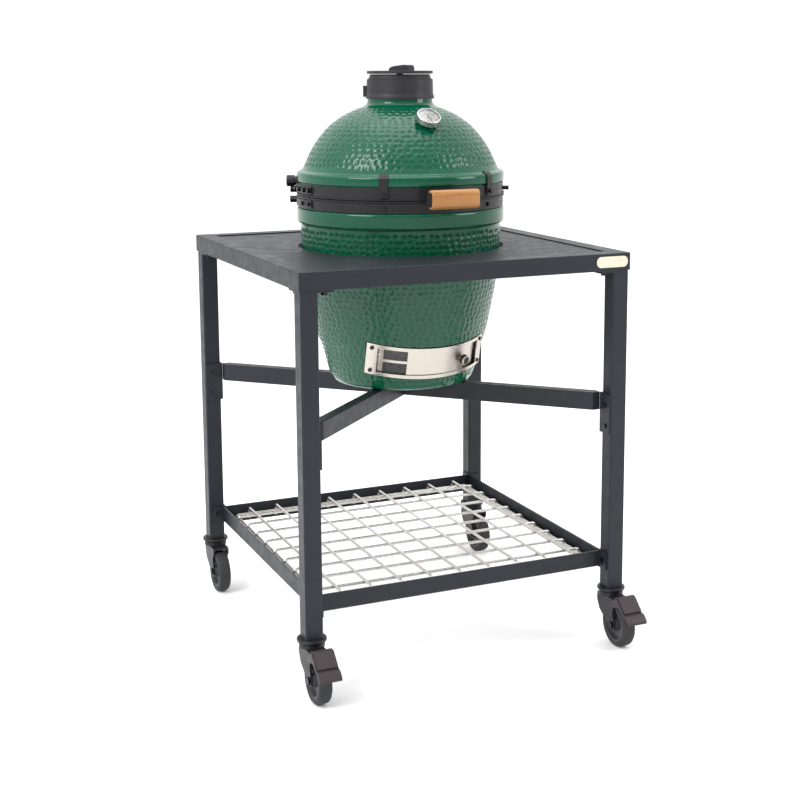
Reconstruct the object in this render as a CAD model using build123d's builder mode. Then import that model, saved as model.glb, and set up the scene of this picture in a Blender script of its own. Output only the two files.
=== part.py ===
from build123d import *
import os
from math import cos, sin, radians, sqrt

os.makedirs("parts", exist_ok=True)

# ------------------------------------------------------------------ driving dimensions (mm)
YC = 45.0                 # the body and table axis stands this far behind the origin
TABLE = 760.0             # table frame, square, outside to outside
H = 887.0                 # table top above the floor
RIM_W = 40.0              # border tube, width seen from above
RIM_H = 38.0              # border tube, height
PANEL_DROP = 2.5          # panel lies this far below the rim
PANEL_T = 3.0
CUT_R = 235.0             # round cut-out in the panel
LEG = 38.0                # square leg tube
LEG_C = 358.0             # leg centre from the table axis
LEG_Z0 = 128.0            # caster height
LEG_Z1 = 844.0
PLATE_T = 5.0
BRACE_TOP = 573.0         # the ceramic base stands on the crossed bars
BRACE_H = 40.0
BRACE_W = 25.0
SHELF_Z0 = 172.0
SHELF_H = 36.0
SHELF_OUT = 342.0
WIRE = 6.6
WIRE_PITCH = 70.0
SEAM = 116.0              # seam above the table top
WHEEL_R = 50.0
WHEEL_W = 29.0
TRAIL = 36.0
TAU = radians(14.7)       # lean of the draft frame
DRAFT_R = 190.0           # bend radius of the draft frame
HINGE_Y = 265.0
HINGE_Z = 118.0
KNOB_TURN = 15.0

AX = Axis((0, YC, 0), (0, 0, 1))


def at(x=0.0, y=0.0, z=0.0, x_dir=(1, 0, 0), z_dir=(0, 0, 1)):
    """Plane placed from the table axis on the floor."""
    return Plane(origin=(x, y + YC, z), x_dir=x_dir, z_dir=z_dir)


def radial(delta, z=H):
    """Section plane through the vertical axis; local x runs outwards, local y upwards from height z.
    delta is the angle from the front (-Y) towards +X."""
    d = radians(delta)
    return Plane(origin=(0, YC, z), x_dir=(sin(d), -cos(d), 0), z_dir=(-cos(d), -sin(d), 0))


def outward(delta, r, z):
    """Plane facing outwards at radius r, height z above the table top; local y is up."""
    d = radians(delta)
    return Plane(origin=(r * sin(d), YC - r * cos(d), H + z), x_dir=(cos(d), sin(d), 0),
                 z_dir=(sin(d), -cos(d), 0))


SEC = radial(90.0)        # local x = +X, local y = +Z from the table top

# =================================================================== table frame
half = TABLE / 2
with BuildPart() as border_frame:
    with BuildSketch(at(z=H - RIM_H)):
        RectangleRounded(TABLE, TABLE, 3)
        Rectangle(TABLE - 2 * RIM_W, TABLE - 2 * RIM_W, mode=Mode.SUBTRACT)
    extrude(amount=RIM_H)
    fillet(border_frame.faces().sort_by(Axis.Z)[-1].outer_wire().edges(), 2.4)
    # hollow of the square tube
    with BuildSketch(at(z=H - RIM_H + 2)):
        Rectangle(TABLE - 4, TABLE - 4)
        Rectangle(TABLE - 2 * RIM_W + 4, TABLE - 2 * RIM_W + 4, mode=Mode.SUBTRACT)
    extrude(amount=RIM_H - 4, mode=Mode.SUBTRACT)
    with BuildSketch(at(z=H - RIM_H)):
        with Locations(*[(sx * a, sy * b) for sx in (-1, 1) for sy in (-1, 1) for a, b in ((365, 322), (322, 365))]):
            Circle(4)
    extrude(amount=2, mode=Mode.SUBTRACT)
border_frame.part.label = "border_frame"
export_step(border_frame.part, "parts/border_frame.step")

inner = TABLE / 2 - RIM_W
with BuildPart() as table_panel:
    with BuildSketch(at(z=H - PANEL_DROP - PANEL_T)):
        Rectangle(2 * inner, 2 * inner)
        Circle(CUT_R, mode=Mode.SUBTRACT)
    extrude(amount=PANEL_T)
    # turned-down edge against the border tube
    with BuildSketch(at(z=H - 28)):
        Rectangle(2 * inner, 2 * inner)
        Rectangle(2 * inner - 4, 2 * inner - 4, mode=Mode.SUBTRACT)
    extrude(amount=28 - PANEL_DROP - 1)
    # turned-down collar round the cut-out
    with BuildSketch(at(z=H - 17)):
        Circle(CUT_R + 2)
        Circle(CUT_R, mode=Mode.SUBTRACT)
    extrude(amount=17 - PANEL_DROP - 1)
    top = table_panel.faces().sort_by(Axis.Z)[-1]
    chamfer(top.outer_wire().edges(), 1.2)
    fillet(table_panel.faces().sort_by(Axis.Z)[-1].inner_wires()[0].edges(), 1.5)
table_panel.part.label = "table_panel"
export_step(table_panel.part, "parts/table_panel.step")

with BuildPart() as frame_bolts:
    with BuildSketch(at(z=LEG_Z1 - 6)):
        with Locations(*[(sx * a, sy * b) for sx in (-1, 1) for sy in (-1, 1) for a, b in ((365, 322), (322, 365))]):
            RegularPolygon(7.5, 6)
    extrude(amount=6)
    with BuildSketch(at(z=LEG_Z1)):
        with Locations(*[(sx * a, sy * b) for sx in (-1, 1) for sy in (-1, 1) for a, b in ((365, 322), (322, 365))]):
            Circle(4)
    extrude(amount=14)
frame_bolts.part.label = "frame_bolts"
export_step(frame_bolts.part, "parts/frame_bolts.step")

CORNERS = (("front_left", -1, -1), ("front_right", 1, -1), ("back_left", -1, 1), ("back_right", 1, 1))

for name, sx, sy in CORNERS:
    with BuildPart() as leg:
        with BuildSketch(at(sx * LEG_C, sy * LEG_C, LEG_Z0)):
            RectangleRounded(LEG, LEG, 3.2)
            RectangleRounded(LEG - 4, LEG - 4, 1.4, mode=Mode.SUBTRACT)
        extrude(amount=LEG_Z1 - LEG_Z0)
        # plate welded on top, bolted up into the border frame
        with BuildSketch(at(z=LEG_Z1)):
            with Locations((sx * 341, sy * 341)):
                RectangleRounded(72, 72, 4)
            with Locations((sx * 365, sy * 322), (sx * 322, sy * 365)):
                Circle(4, mode=Mode.SUBTRACT)
        extrude(amount=PLATE_T)
    leg.part.label = f"{name}_leg"
    export_step(leg.part, f"parts/{name}_leg.step")

# crossed bars under the ceramic base: one through bar and two halves
tip = (LEG_C - LEG / 2 - 4) * sqrt(2) - 0.2
hw = BRACE_W / 2
with BuildPart() as brace_bars:
    with BuildSketch(at(z=BRACE_TOP - BRACE_H, x_dir=(cos(radians(45)), sin(radians(45)), 0))):
        with BuildLine():
            Polyline((-tip, 0), (-tip + hw, -hw), (tip - hw, -hw), (tip, 0), (tip - hw, hw), (-tip + hw, hw), (-tip, 0))
        make_face()
    extrude(amount=BRACE_H)
    fillet(brace_bars.edges().filter_by(lambda e: abs(e.length - 2 * (tip - hw)) < 1), 2)
    with BuildSketch(at(z=BRACE_TOP - BRACE_H, x_dir=(cos(radians(-45)), sin(radians(-45)), 0))):
        for s in (-1, 1):
            with BuildLine():
                Polyline((s * hw, -hw), (s * (tip - hw), -hw), (s * tip, 0), (s * (tip - hw), hw), (s * hw, hw), (s * hw, -hw))
            make_face()
    extrude(amount=BRACE_H)
    # the bars are square-ended tubes with closed tips
    for a in (45, -45):
        with BuildSketch(at(z=BRACE_TOP - BRACE_H + 2.5, x_dir=(cos(radians(a)), sin(radians(a)), 0))):
            Rectangle(2 * (tip - hw), BRACE_W - 5)
        extrude(amount=BRACE_H - 5, mode=Mode.SUBTRACT)
brace_bars.part.label = "brace_bars"
export_step(brace_bars.part, "parts/brace_bars.step")

LI = LEG_C - LEG / 2      # inner face of a leg
# ------------------------------------------------------------------ shelf
so = SHELF_OUT
with BuildPart() as shelf_rails:
    # angle rails: front and back run between the side rails
    for s in (-1, 1):
        with BuildSketch(at(s * so, 0, SHELF_Z0, x_dir=(1, 0, 0), z_dir=(0, -1, 0))):
            with BuildLine():
                Polyline((0, 0), (0, SHELF_H), (-s * 4, SHELF_H), (-s * 4, 4), (-s * 25, 4), (-s * 25, 0), (0, 0))
            make_face()
        extrude(amount=LI - 4.2, both=True)
        with BuildSketch(at(0, s * so, SHELF_Z0, x_dir=(0, 1, 0), z_dir=(1, 0, 0))):
            with BuildLine():
                Polyline((0, 0), (0, SHELF_H), (-s * 4, SHELF_H), (-s * 4, 4), (-s * 25, 4), (-s * 25, 0), (0, 0))
            make_face()
        extrude(amount=so - 25.2, both=True)
        with BuildSketch(at(0, s * so, SHELF_Z0, x_dir=(0, 1, 0), z_dir=(1, 0, 0))):
            with BuildLine():
                Polyline((0, 0), (0, SHELF_H), (-s * 4, SHELF_H), (-s * 4, 0), (0, 0))
            make_face()
        extrude(amount=LI - 4.2, both=True)
shelf_rails.part.label = "shelf_rails"
export_step(shelf_rails.part, "parts/shelf_rails.step")

# angle brackets on the legs' inner corners, tall ones for the brace bars and short ones for the shelf
with BuildPart() as leg_brackets:
    for name, sx, sy in CORNERS:
        with BuildSketch(at(z=BRACE_TOP - 90)):
            with BuildLine():
                Polyline((sx * (LI - 4), sy * (LI - 4)), (sx * (LI + 35), sy * (LI - 4)), (sx * (LI + 35), sy * LI),
                         (sx * LI, sy * LI), (sx * LI, sy * (LI + 35)), (sx * (LI - 4), sy * (LI + 35)),
                         (sx * (LI - 4), sy * (LI - 4)))
            make_face()
        extrude(amount=90)
        with BuildSketch(at(sx * (LI - 6), sy * (LI + 19), BRACE_TOP, x_dir=(0, 1, 0), z_dir=(1, 0, 0)),
                         at(sx * (LI + 19), sy * (LI - 6), BRACE_TOP, x_dir=(1, 0, 0), z_dir=(0, -1, 0))):
            with Locations((0, -26), (0, -73)):
                Circle(3)
        extrude(amount=8, both=True, mode=Mode.SUBTRACT)
    for name, sx, sy in CORNERS:
        with BuildSketch(at(z=SHELF_Z0 - 2)):
            with BuildLine():
                Polyline((sx * (LI - 4), sy * (LI - 4)), (sx * (LI + 30), sy * (LI - 4)), (sx * (LI + 30), sy * LI),
                         (sx * LI, sy * LI), (sx * LI, sy * (LI + 30)), (sx * (LI - 4), sy * (LI + 30)),
                         (sx * (LI - 4), sy * (LI - 4)))
            make_face()
        extrude(amount=40)
        with BuildSketch(at(sx * (LI - 6), sy * (LI + 17), SHELF_Z0 + 18, x_dir=(0, 1, 0), z_dir=(1, 0, 0)),
                         at(sx * (LI + 17), sy * (LI - 6), SHELF_Z0 + 18, x_dir=(1, 0, 0), z_dir=(0, -1, 0))):
            Circle(3)
        extrude(amount=8, both=True, mode=Mode.SUBTRACT)
leg_brackets.part.label = "leg_brackets"
export_step(leg_brackets.part, "parts/leg_brackets.step")

# button-head screws of the brace and shelf brackets
with BuildPart() as frame_screws:
    for name, sx, sy in CORNERS:
        for off, zs in ((19, (BRACE_TOP - 26, BRACE_TOP - 73)), (17, (SHELF_Z0 + 18,))):
            for z in zs:
                with BuildSketch(at(sx * (LI - 4), sy * (LI + off), z, x_dir=(0, 1, 0), z_dir=(-sx, 0, 0)),
                                 at(sx * (LI + off), sy * (LI - 4), z, x_dir=(1, 0, 0), z_dir=(0, -sy, 0))):
                    Circle(5.5)
                extrude(amount=3.2)
                with BuildSketch(at(sx * (LI - 4), sy * (LI + off), z, x_dir=(0, 1, 0), z_dir=(sx, 0, 0)),
                                 at(sx * (LI + off), sy * (LI - 4), z, x_dir=(1, 0, 0), z_dir=(0, sy, 0))):
                    Circle(3)
                extrude(amount=4)
frame_screws.part.label = "frame_screws"
export_step(frame_screws.part, "parts/frame_screws.step")

# welded wire grid: wires along Y on top, wires along X under them, ends bent down to the ledge
wr = WIRE / 2
we = 321.5                # where the wires turn down
z_hi = SHELF_Z0 + SHELF_H - 5.5
z_lo = z_hi - WIRE + 0.4
z_ft = SHELF_Z0 + 4
wires = [(i - 4) * WIRE_PITCH for i in range(9)]
with BuildPart() as shelf_grid:
    with BuildLine(at(wires[0], 0, 0, x_dir=(0, 1, 0), z_dir=(1, 0, 0))) as path_y:
        FilletPolyline((-we, z_ft), (-we, z_hi), (we, z_hi), (we, z_ft), radius=11)
    with BuildSketch(at(wires[0], -we, z_ft)):
        Circle(wr)
    sweep(path=path_y.wires()[0])
    first = shelf_grid.part
    for i in range(1, 9):
        add(first.moved(Location((i * WIRE_PITCH, 0, 0))))
    with BuildLine(at(0, wires[0], 0, x_dir=(1, 0, 0), z_dir=(0, -1, 0))) as path_x:
        FilletPolyline((-we, z_ft), (-we, z_lo), (we, z_lo), (we, z_ft), radius=11)
    with BuildSketch(at(-we, wires[0], z_ft), mode=Mode.PRIVATE) as wire_end:
        Circle(wr)
    cross = sweep(wire_end.sketch, path=path_x.wires()[0], mode=Mode.PRIVATE)
    for i in range(9):
        add(cross.moved(Location((0, i * WIRE_PITCH, 0))))
    # two rim wires round the turned-down ends
    for off, z in ((0.0, z_ft + wr + 0.3), (-WIRE + 0.5, z_ft + wr + 9.0)):
        e = we + off
        with BuildSketch(at(0, 0, z), mode=Mode.PRIVATE) as ring_face:
            RectangleRounded(2 * e, 2 * e, 7)
        ring = ring_face.sketch.wires()[0]
        with BuildSketch(Plane(ring @ 0, z_dir=ring % 0)):
            Circle(wr)
        sweep(path=ring)
shelf_grid.part.label = "shelf_grid"
export_step(shelf_grid.part, "parts/shelf_grid.step")

with BuildPart() as badge_plate:
    with BuildSketch(at(333.5, -half, H - 18.5, x_dir=(1, 0, 0), z_dir=(0, -1, 0))):
        RectangleRounded(77, 24, 11)
    extrude(amount=1.6)
    fillet(badge_plate.faces().sort_by(Axis.Y)[0].edges(), 0.8)
badge_plate.part.label = "badge_plate"
export_step(badge_plate.part, "parts/badge_plate.step")

# =================================================================== casters
with BuildPart() as caster_collars:
    for name, sx, sy in CORNERS:
        cx, cy = sx * LEG_C, sy * LEG_C
        with BuildSketch(at(cx, cy, 121)):
            Circle(31)
        extrude(amount=7)
        with BuildSketch(at(cx, cy, 119)):
            Circle(24)
        extrude(amount=2)
        with BuildSketch(at(cx, cy, 105.7)):
            Circle(6)
        extrude(amount=14)
        with BuildSketch(at(cx, cy, 101)):
            RegularPolygon(9.5, 6)
        extrude(amount=4.7)
        with BuildSketch(at(cx, cy, 128)):
            RectangleRounded(33.6, 33.6, 1)
        extrude(amount=22)
    fillet(caster_collars.edges().filter_by(GeomType.CIRCLE).filter_by(lambda e: abs(e.radius - 31) < 0.1), 2.4)
caster_collars.part.label = "caster_collars"
export_step(caster_collars.part, "parts/caster_collars.step")

for name, sx, sy in CORNERS:
    cx, cy = sx * LEG_C, sy * LEG_C
    front = sy < 0
    side = at(cx, cy, 0, x_dir=(0, -1, 0), z_dir=(-1, 0, 0))     # local x forwards, local y up
    with BuildPart() as fork:
        with BuildSketch(side):
            with BuildLine():
                Polyline((-26, 110), (-27, 92), (-17, 72), (22, 46), (26.5, 40.8), (36, 37), (46, 41.5), (49, 50), (46, 60),
                         (38, 74), (40, 88), (48, 96), (48, 110), (-26, 110))
            make_face()
        extrude(amount=19.5, both=True)
        with BuildSketch(side):
            with Locations((11, 50)):
                Rectangle(90, 112)
        extrude(amount=16, both=True, mode=Mode.SUBTRACT)
        with BuildSketch(at(cx, cy, 110)):
            Circle(27)
        extrude(amount=8.7)
        with BuildSketch(at(cx, cy, 100)):
            Circle(6.06)
        extrude(amount=20, mode=Mode.SUBTRACT)
        with BuildSketch(side):
            with Locations((TRAIL, WHEEL_R)):
                Circle(5)
        extrude(amount=30, both=True, mode=Mode.SUBTRACT)
        if front:
            for s in (-1, 1):
                with BuildSketch(at(cx + s * 16, cy, 0, x_dir=(0, -1, 0), z_dir=(s, 0, 0)) if s < 0 else
                                 at(cx + s * 16, cy, 0, x_dir=(0, 1, 0), z_dir=(s, 0, 0))):
                    with Locations((40 if s < 0 else -40, 101)):
                        Circle(3)
                extrude(amount=8)
    fork.part.label = f"{name}_caster_fork"
    export_step(fork.part, f"parts/{name}_caster_fork.step")

    with BuildPart() as axle:
        with BuildSketch(side):
            with Locations((TRAIL, WHEEL_R)):
                Circle(5)
        extrude(amount=19.5, both=True)
        for s in (-1, 1):
            with BuildSketch(at(cx + s * 19.5, cy - TRAIL, WHEEL_R, x_dir=(0, 1, 0), z_dir=(s, 0, 0))):
                RegularPolygon(8.5, 6)
            extrude(amount=4.5)
    axle.part.label = f"{name}_axle_bolt"
    export_step(axle.part, f"parts/{name}_axle_bolt.step")

    spin = Axis((cx, cy + YC - TRAIL, WHEEL_R), (1, 0, 0))
    wheel_sec = at(cx, cy - TRAIL, WHEEL_R, x_dir=(1, 0, 0), z_dir=(0, -1, 0))
    ww = WHEEL_W / 2
    with BuildPart() as tyre:
        with BuildSketch(wheel_sec):
            with BuildLine():
                Polyline((-ww, 44), (-ww, 38), (ww, 38), (ww, 44))
                ThreePointArc((ww, 44), (ww - 2.2, 47.9), (ww - 6, 49.4))
                Polyline((ww - 6, 49.4), (ww - 9, 50), (9 - ww, 50), (6 - ww, 49.4))
                ThreePointArc((6 - ww, 49.4), (2.2 - ww, 47.9), (-ww, 44))
            make_face()
        revolve(axis=spin)
    tyre.part.label = f"{name}_tyre"
    export_step(tyre.part, f"parts/{name}_tyre.step")

    with BuildPart() as hub:
        with BuildSketch(wheel_sec):
            with BuildLine():
                Polyline((-15.7, 5.08), (15.7, 5.08), (15.7, 13), (6, 15), (5, 32), (13.5, 34), (13.5, 38),
                         (-13.5, 38), (-13.5, 34), (-5, 32), (-6, 15), (-15.7, 13), (-15.7, 5.08))
            make_face()
        revolve(axis=spin)
    hub.part.label = f"{name}_wheel_hub"
    export_step(hub.part, f"parts/{name}_wheel_hub.step")

    if front:
        with BuildPart() as pedal:
            with BuildSketch(side):
                with BuildLine():
                    Polyline((54, 119), (58, 122), (64, 122.5), (67, 121), (93, 97.4), (93.2, 94.8), (91, 94.4), (64.5, 116.5),
                             (62, 117.6), (55, 116), (54, 119))
                make_face()
            extrude(amount=21.5, both=True)
            # lower step of the foot plate, folded in and flared out again
            with BuildSketch(side):
                with BuildLine():
                    Polyline((86, 99.6), (88.5, 97.5), (90, 92.6), (99.5, 91), (105.5, 87.4), (112.4, 78.5), (113, 73.6),
                             (110.6, 72.8), (108, 77.4), (102.6, 83.8), (97, 87), (87, 88.6), (84, 97), (86, 99.6))
                make_face()
            extrude(amount=24, both=True)
            for s in (-1, 1):
                with BuildSketch(at(cx + s * 19.9, cy, 0, x_dir=(0, s, 0), z_dir=(s, 0, 0))):
                    with BuildLine():
                        u = [(40, 108), (34, 104.5), (33, 99), (37, 94), (43, 94), (70, 101), (88, 93.5), (89, 96), (66, 118), (62, 119.5), (55, 118), (50, 112)]
                        Polyline(*[(-s * a, b) for a, b in u], close=True)
                    make_face()
                    with Locations((-s * 40, 101)):
                        Circle(3.08, mode=Mode.SUBTRACT)
                extrude(amount=4.1)
        pedal.part.label = f"{name}_brake_pedal"
        export_step(pedal.part, f"parts/{name}_brake_pedal.step")

# =================================================================== ceramic base
tilt_a = (0, -sin(TAU), cos(TAU))
P0 = (0.0, -180.3, -247.0)
A0 = (0.0, P0[1] + DRAFT_R * cos(TAU) + YC, H + P0[2] + DRAFT_R * sin(TAU))
TAX = Axis(A0, tilt_a)


def tilted(phi):
    """Section plane through the leaning axis of the draft frame; local x outwards, local y along the axis."""
    p = radians(phi)
    return Plane(origin=A0, x_dir=(sin(p), -cos(p) * cos(TAU), -cos(p) * sin(TAU)),
                 z_dir=(-cos(p), -sin(p) * cos(TAU), -sin(p) * sin(TAU)))


with BuildPart() as ceramic_base:
    with BuildSketch(SEC):
        with BuildLine():
            Polyline((0, -286), (0, -314), (146, -314))
            Spline((146, -314), (158, -310), (166, -298), (169.2, -290), tangents=((1, 0.0), (0.25, 1)))
            Line((169.2, -290), (184.1, -233))
            Spline((184.1, -233), (189, -221), (193, -211.6), (199.9, -183), (205.8, -155), (211.4, -126.5),
                   (216.7, -98), (220.5, -70), (224.5, -35), (227, 0), (228, 41))
            Polyline((228, 41), (228.3, 50), (229.6, 53), (234.8, 54.6), (236, 57), (236, 84), (231, 88), (231, 113.5), (208, 113.5),
                     (206, 111), (206, 50))
            Spline((206, 50), (203, 0), (197, -70), (186, -130), (172, -190), (155, -240), (130, -272), (108, -286))
            Line((108, -286), (0, -286))
        make_face()
    revolve(axis=AX)
    # seat of the draft frame and the air opening behind it
    with BuildSketch(tilted(-47)):
        with Locations((188 + 22, 0)):
            Rectangle(44, 76)
    revolve(axis=TAX, revolution_arc=94, mode=Mode.SUBTRACT)
    with BuildSketch(tilted(-35)):
        with Locations((165, 0)):
            Rectangle(70, 50)
    revolve(axis=TAX, revolution_arc=37, mode=Mode.SUBTRACT)
ceramic_base.part.label = "ceramic_base"
export_step(ceramic_base.part, "parts/ceramic_base.step")

with BuildPart() as firebox:
    with BuildSketch(SEC):
        with BuildLine():
            Polyline((85, -286), (103, -286), (122, -255), (148, -190), (168, -100), (172, -60), (150, -60),
                     (130, -180), (104, -206), (104, -215), (85, -215), (85, -286))
        make_face()
    revolve(axis=AX)
    with BuildSketch(at(-20, -60, H - 286, x_dir=(1, 0, 0), z_dir=(0, -1, 0))):
        with Locations((0, 22)):
            Rectangle(90, 44)
    extrude(amount=80, mode=Mode.SUBTRACT)
firebox.part.label = "firebox"
export_step(firebox.part, "parts/firebox.step")

with BuildPart() as fire_grate:
    with BuildSketch(at(z=H - 215)):
        Circle(103)
        with GridLocations(0, 22, 1, 7):
            SlotOverall(130, 9, mode=Mode.SUBTRACT)
    extrude(amount=6)
fire_grate.part.label = "fire_grate"
export_step(fire_grate.part, "parts/fire_grate.step")

with BuildPart() as fire_ring:
    with BuildSketch(SEC):
        with BuildLine():
            Polyline((150, -60), (172, -60), (186, 60), (166, 60), (150, -60))
        make_face()
    revolve(axis=AX)
fire_ring.part.label = "fire_ring"
export_step(fire_ring.part, "parts/fire_ring.step")

with BuildPart() as cooking_grid:
    with BuildSketch(radial(90)):
        with Locations((178, 63)):
            Circle(3)
    revolve(axis=AX)
    for i in range(-10, 11):
        x = i * 16.5
        half_len = sqrt(177.5 ** 2 - x ** 2)
        with BuildSketch(at(x, -half_len, H + 65.6, x_dir=(1, 0, 0), z_dir=(0, 1, 0))):
            Circle(2.2)
        extrude(amount=2 * half_len)
    for y in (-70, 70):
        half_len = sqrt(177.5 ** 2 - y ** 2)
        with BuildSketch(at(-half_len, y, H + 62.7, x_dir=(0, 1, 0), z_dir=(1, 0, 0))):
            Circle(2.6)
        extrude(amount=2 * half_len)
cooking_grid.part.label = "cooking_grid"
export_step(cooking_grid.part, "parts/cooking_grid.step")

with BuildPart() as lower_gasket:
    with BuildSketch(at(z=H + 113.5)):
        Circle(230)
        Circle(208.2, mode=Mode.SUBTRACT)
    extrude(amount=2.4)
lower_gasket.part.label = "lower_gasket"
export_step(lower_gasket.part, "parts/lower_gasket.step")

# clamping band of the base, with a turned-out lip at the seam
with BuildPart() as lower_band:
    with BuildSketch(SEC):
        with BuildLine():
            Polyline((231, 89), (234, 89), (234, 110.5), (236.6, 112), (236.6, 115), (231, 115), (231, 89))
        make_face()
    revolve(axis=AX)
lower_band.part.label = "lower_band"
export_step(lower_band.part, "parts/lower_band.step")

# hinge strap and lugs on the base
with BuildPart() as hinge_base_bracket:
    with BuildSketch(radial(79)):
        with Locations((235.5, 100.5)):
            Rectangle(3, 17)
    revolve(axis=AX, revolution_arc=202)
    for x in (-68, 68):
        with BuildSketch(at(x, 0, H, x_dir=(0, 1, 0), z_dir=(1, 0, 0))):
            with BuildLine():
                Polyline((227.5, 92), (250, 92), (277, 108), (278, 119), (273, 128), (262, 130), (253, 124), (246, 110), (227.5, 108.5), (227.5, 92))
            make_face()
            with Locations((HINGE_Y, HINGE_Z)):
                Circle(6, mode=Mode.SUBTRACT)
        extrude(amount=2, both=True)
hinge_base_bracket.part.label = "hinge_base_bracket"
export_step(hinge_base_bracket.part, "parts/hinge_base_bracket.step")

with BuildPart() as hinge_pin:
    with BuildSketch(at(-76, HINGE_Y, H + HINGE_Z, x_dir=(0, 1, 0), z_dir=(1, 0, 0))):
        Circle(6)
    extrude(amount=152)
    for x in (-78, 70):
        with BuildSketch(at(x, HINGE_Y, H + HINGE_Z, x_dir=(0, 1, 0), z_dir=(1, 0, 0))):
            Circle(9.5)
        extrude(amount=8)
hinge_pin.part.label = "hinge_pin"
export_step(hinge_pin.part, "parts/hinge_pin.step")

# counterbalance springs wound round the pin
with BuildPart() as hinge_springs:
    for x0 in (-53, 3):
        with BuildLine() as coil_path:
            Helix(pitch=5, height=50, radius=9.4, center=(x0, HINGE_Y + YC, H + HINGE_Z), direction=(1, 0, 0))
        with BuildSketch(Plane(coil_path.line @ 0, z_dir=coil_path.line % 0)):
            Circle(1.9)
        sweep(path=coil_path.wires()[0], is_frenet=True)
hinge_springs.part.label = "hinge_springs"
export_step(hinge_springs.part, "parts/hinge_springs.step")

# =================================================================== draft frame, screen and door
with BuildPart() as draft_frame:
    for s in (-1, 1):
        # upper and lower channel rails
        with BuildSketch(tilted(-46)):
            with BuildLine():
                Polyline((188, s * 27), (189.5, s * 27), (189.5, s * 35), (194.6, s * 35), (194.6, s * 28.5), (196, s * 28.5),
                         (196, s * 36.5), (188, s * 36.5), (188, s * 27))
            make_face()
        revolve(axis=TAX, revolution_arc=92)
    for a0 in (-46, 38.4):
        with BuildSketch(tilted(a0)):
            with Locations((195.3, 0)):
                Rectangle(1.4, 73)
        revolve(axis=TAX, revolution_arc=7.6)
    for a0 in (-46, 45.3):
        with BuildSketch(tilted(a0)):
            with Locations((192, 0)):
                Rectangle(8, 73)
        revolve(axis=TAX, revolution_arc=0.7)
    # back sheet on both sides of the air opening
    for a0, arc in ((-46, 9.5), (3.5, 42.5)):
        with BuildSketch(tilted(a0)):
            with Locations((188.6, 0)):
                Rectangle(1.2, 72)
        revolve(axis=TAX, revolution_arc=arc)
draft_frame.part.label = "draft_frame"
export_step(draft_frame.part, "parts/draft_frame.step")


def draft_face(phi, r, h):
    """Plane on the draft frame facing outwards, local y up along the leaning axis."""
    p = radians(phi)
    n = (sin(p), -cos(p) * cos(TAU), -cos(p) * sin(TAU))
    return Plane(origin=(A0[0] + r * n[0] + h * tilt_a[0], A0[1] + r * n[1] + h * tilt_a[1], A0[2] + r * n[2] + h * tilt_a[2]),
                 x_dir=(cos(p), sin(p) * cos(TAU), sin(p) * sin(TAU)), z_dir=n)


# bolts of the lower band and hinge strap, screws of the draft frame
with BuildPart() as base_fasteners:
    for d, r, z, rad, out in ((-32, 234, 101, 5, 4.5), (32, 234, 101, 5, 4.5), (-82, 237, 101, 5, 4), (82, 237, 101, 5, 4),
                              (-90, 237, 101, 5, 4), (90, 237, 101, 5, 4), (-118, 237, 101, 8.5, 17), (118, 237, 101, 8.5, 17),
                              (-124, 237, 101, 7, 9), (124, 237, 101, 7, 9)):
        with BuildSketch(outward(d, r, z)):
            RegularPolygon(rad, 6)
        extrude(amount=out)
    for phi, h in ((-42.2, 27), (-42.2, -27), (42.2, 27), (42.2, -27)):
        with BuildSketch(draft_face(phi, 196, h)):
            Circle(4.5)
        extrude(amount=2.6)
base_fasteners.part.label = "base_fasteners"
export_step(base_fasteners.part, "parts/base_fasteners.step")

# mesh screen: thin curved sheet with four windows, a thumb rib at its left end
with BuildPart() as draft_screen:
    with BuildSketch(tilted(-38)):
        with Locations((190.5, 0)):
            Rectangle(1, 69.2)
    revolve(axis=TAX, revolution_arc=42.5)
    for a0 in (-34.6, -15.0):
        for h in (15.5, -15.5):
            with BuildSketch(tilted(a0)):
                with Locations((190.5, h)):
                    Rectangle(3, 25)
            revolve(axis=TAX, revolution_arc=16.8, mode=Mode.SUBTRACT)
    with BuildSketch(tilted(-37.6)):
        with Locations((191.35, 0)):
            Rectangle(0.9, 44)
    revolve(axis=TAX, revolution_arc=1.6)
draft_screen.part.label = "draft_screen"
export_step(draft_screen.part, "parts/draft_screen.step")

# wire mesh behind the windows, as a thin sheet
with BuildPart() as draft_mesh:
    with BuildSketch(tilted(-36)):
        with Locations((189.85, 0)):
            Rectangle(0.3, 60)
    revolve(axis=TAX, revolution_arc=39.5)
draft_mesh.part.label = "draft_mesh"
export_step(draft_mesh.part, "parts/draft_mesh.step")

with BuildPart() as draft_door:
    with BuildSketch(tilted(-18.5)):
        with Locations((192.9, 0)):
            Rectangle(1.2, 69.2)
    revolve(axis=TAX, revolution_arc=42.5)
    with BuildSketch(draft_face(21.6, 193.4, 0)):
        Circle(4)
    extrude(amount=6)
    with BuildSketch(draft_face(21.6, 199.0, 0)):
        Circle(11)
    extrude(amount=12)
    fillet(draft_door.edges().filter_by(GeomType.CIRCLE).filter_by(lambda e: abs(e.radius - 11) < 0.1), 2)
draft_door.part.label = "draft_door"
export_step(draft_door.part, "parts/draft_door.step")

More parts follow.
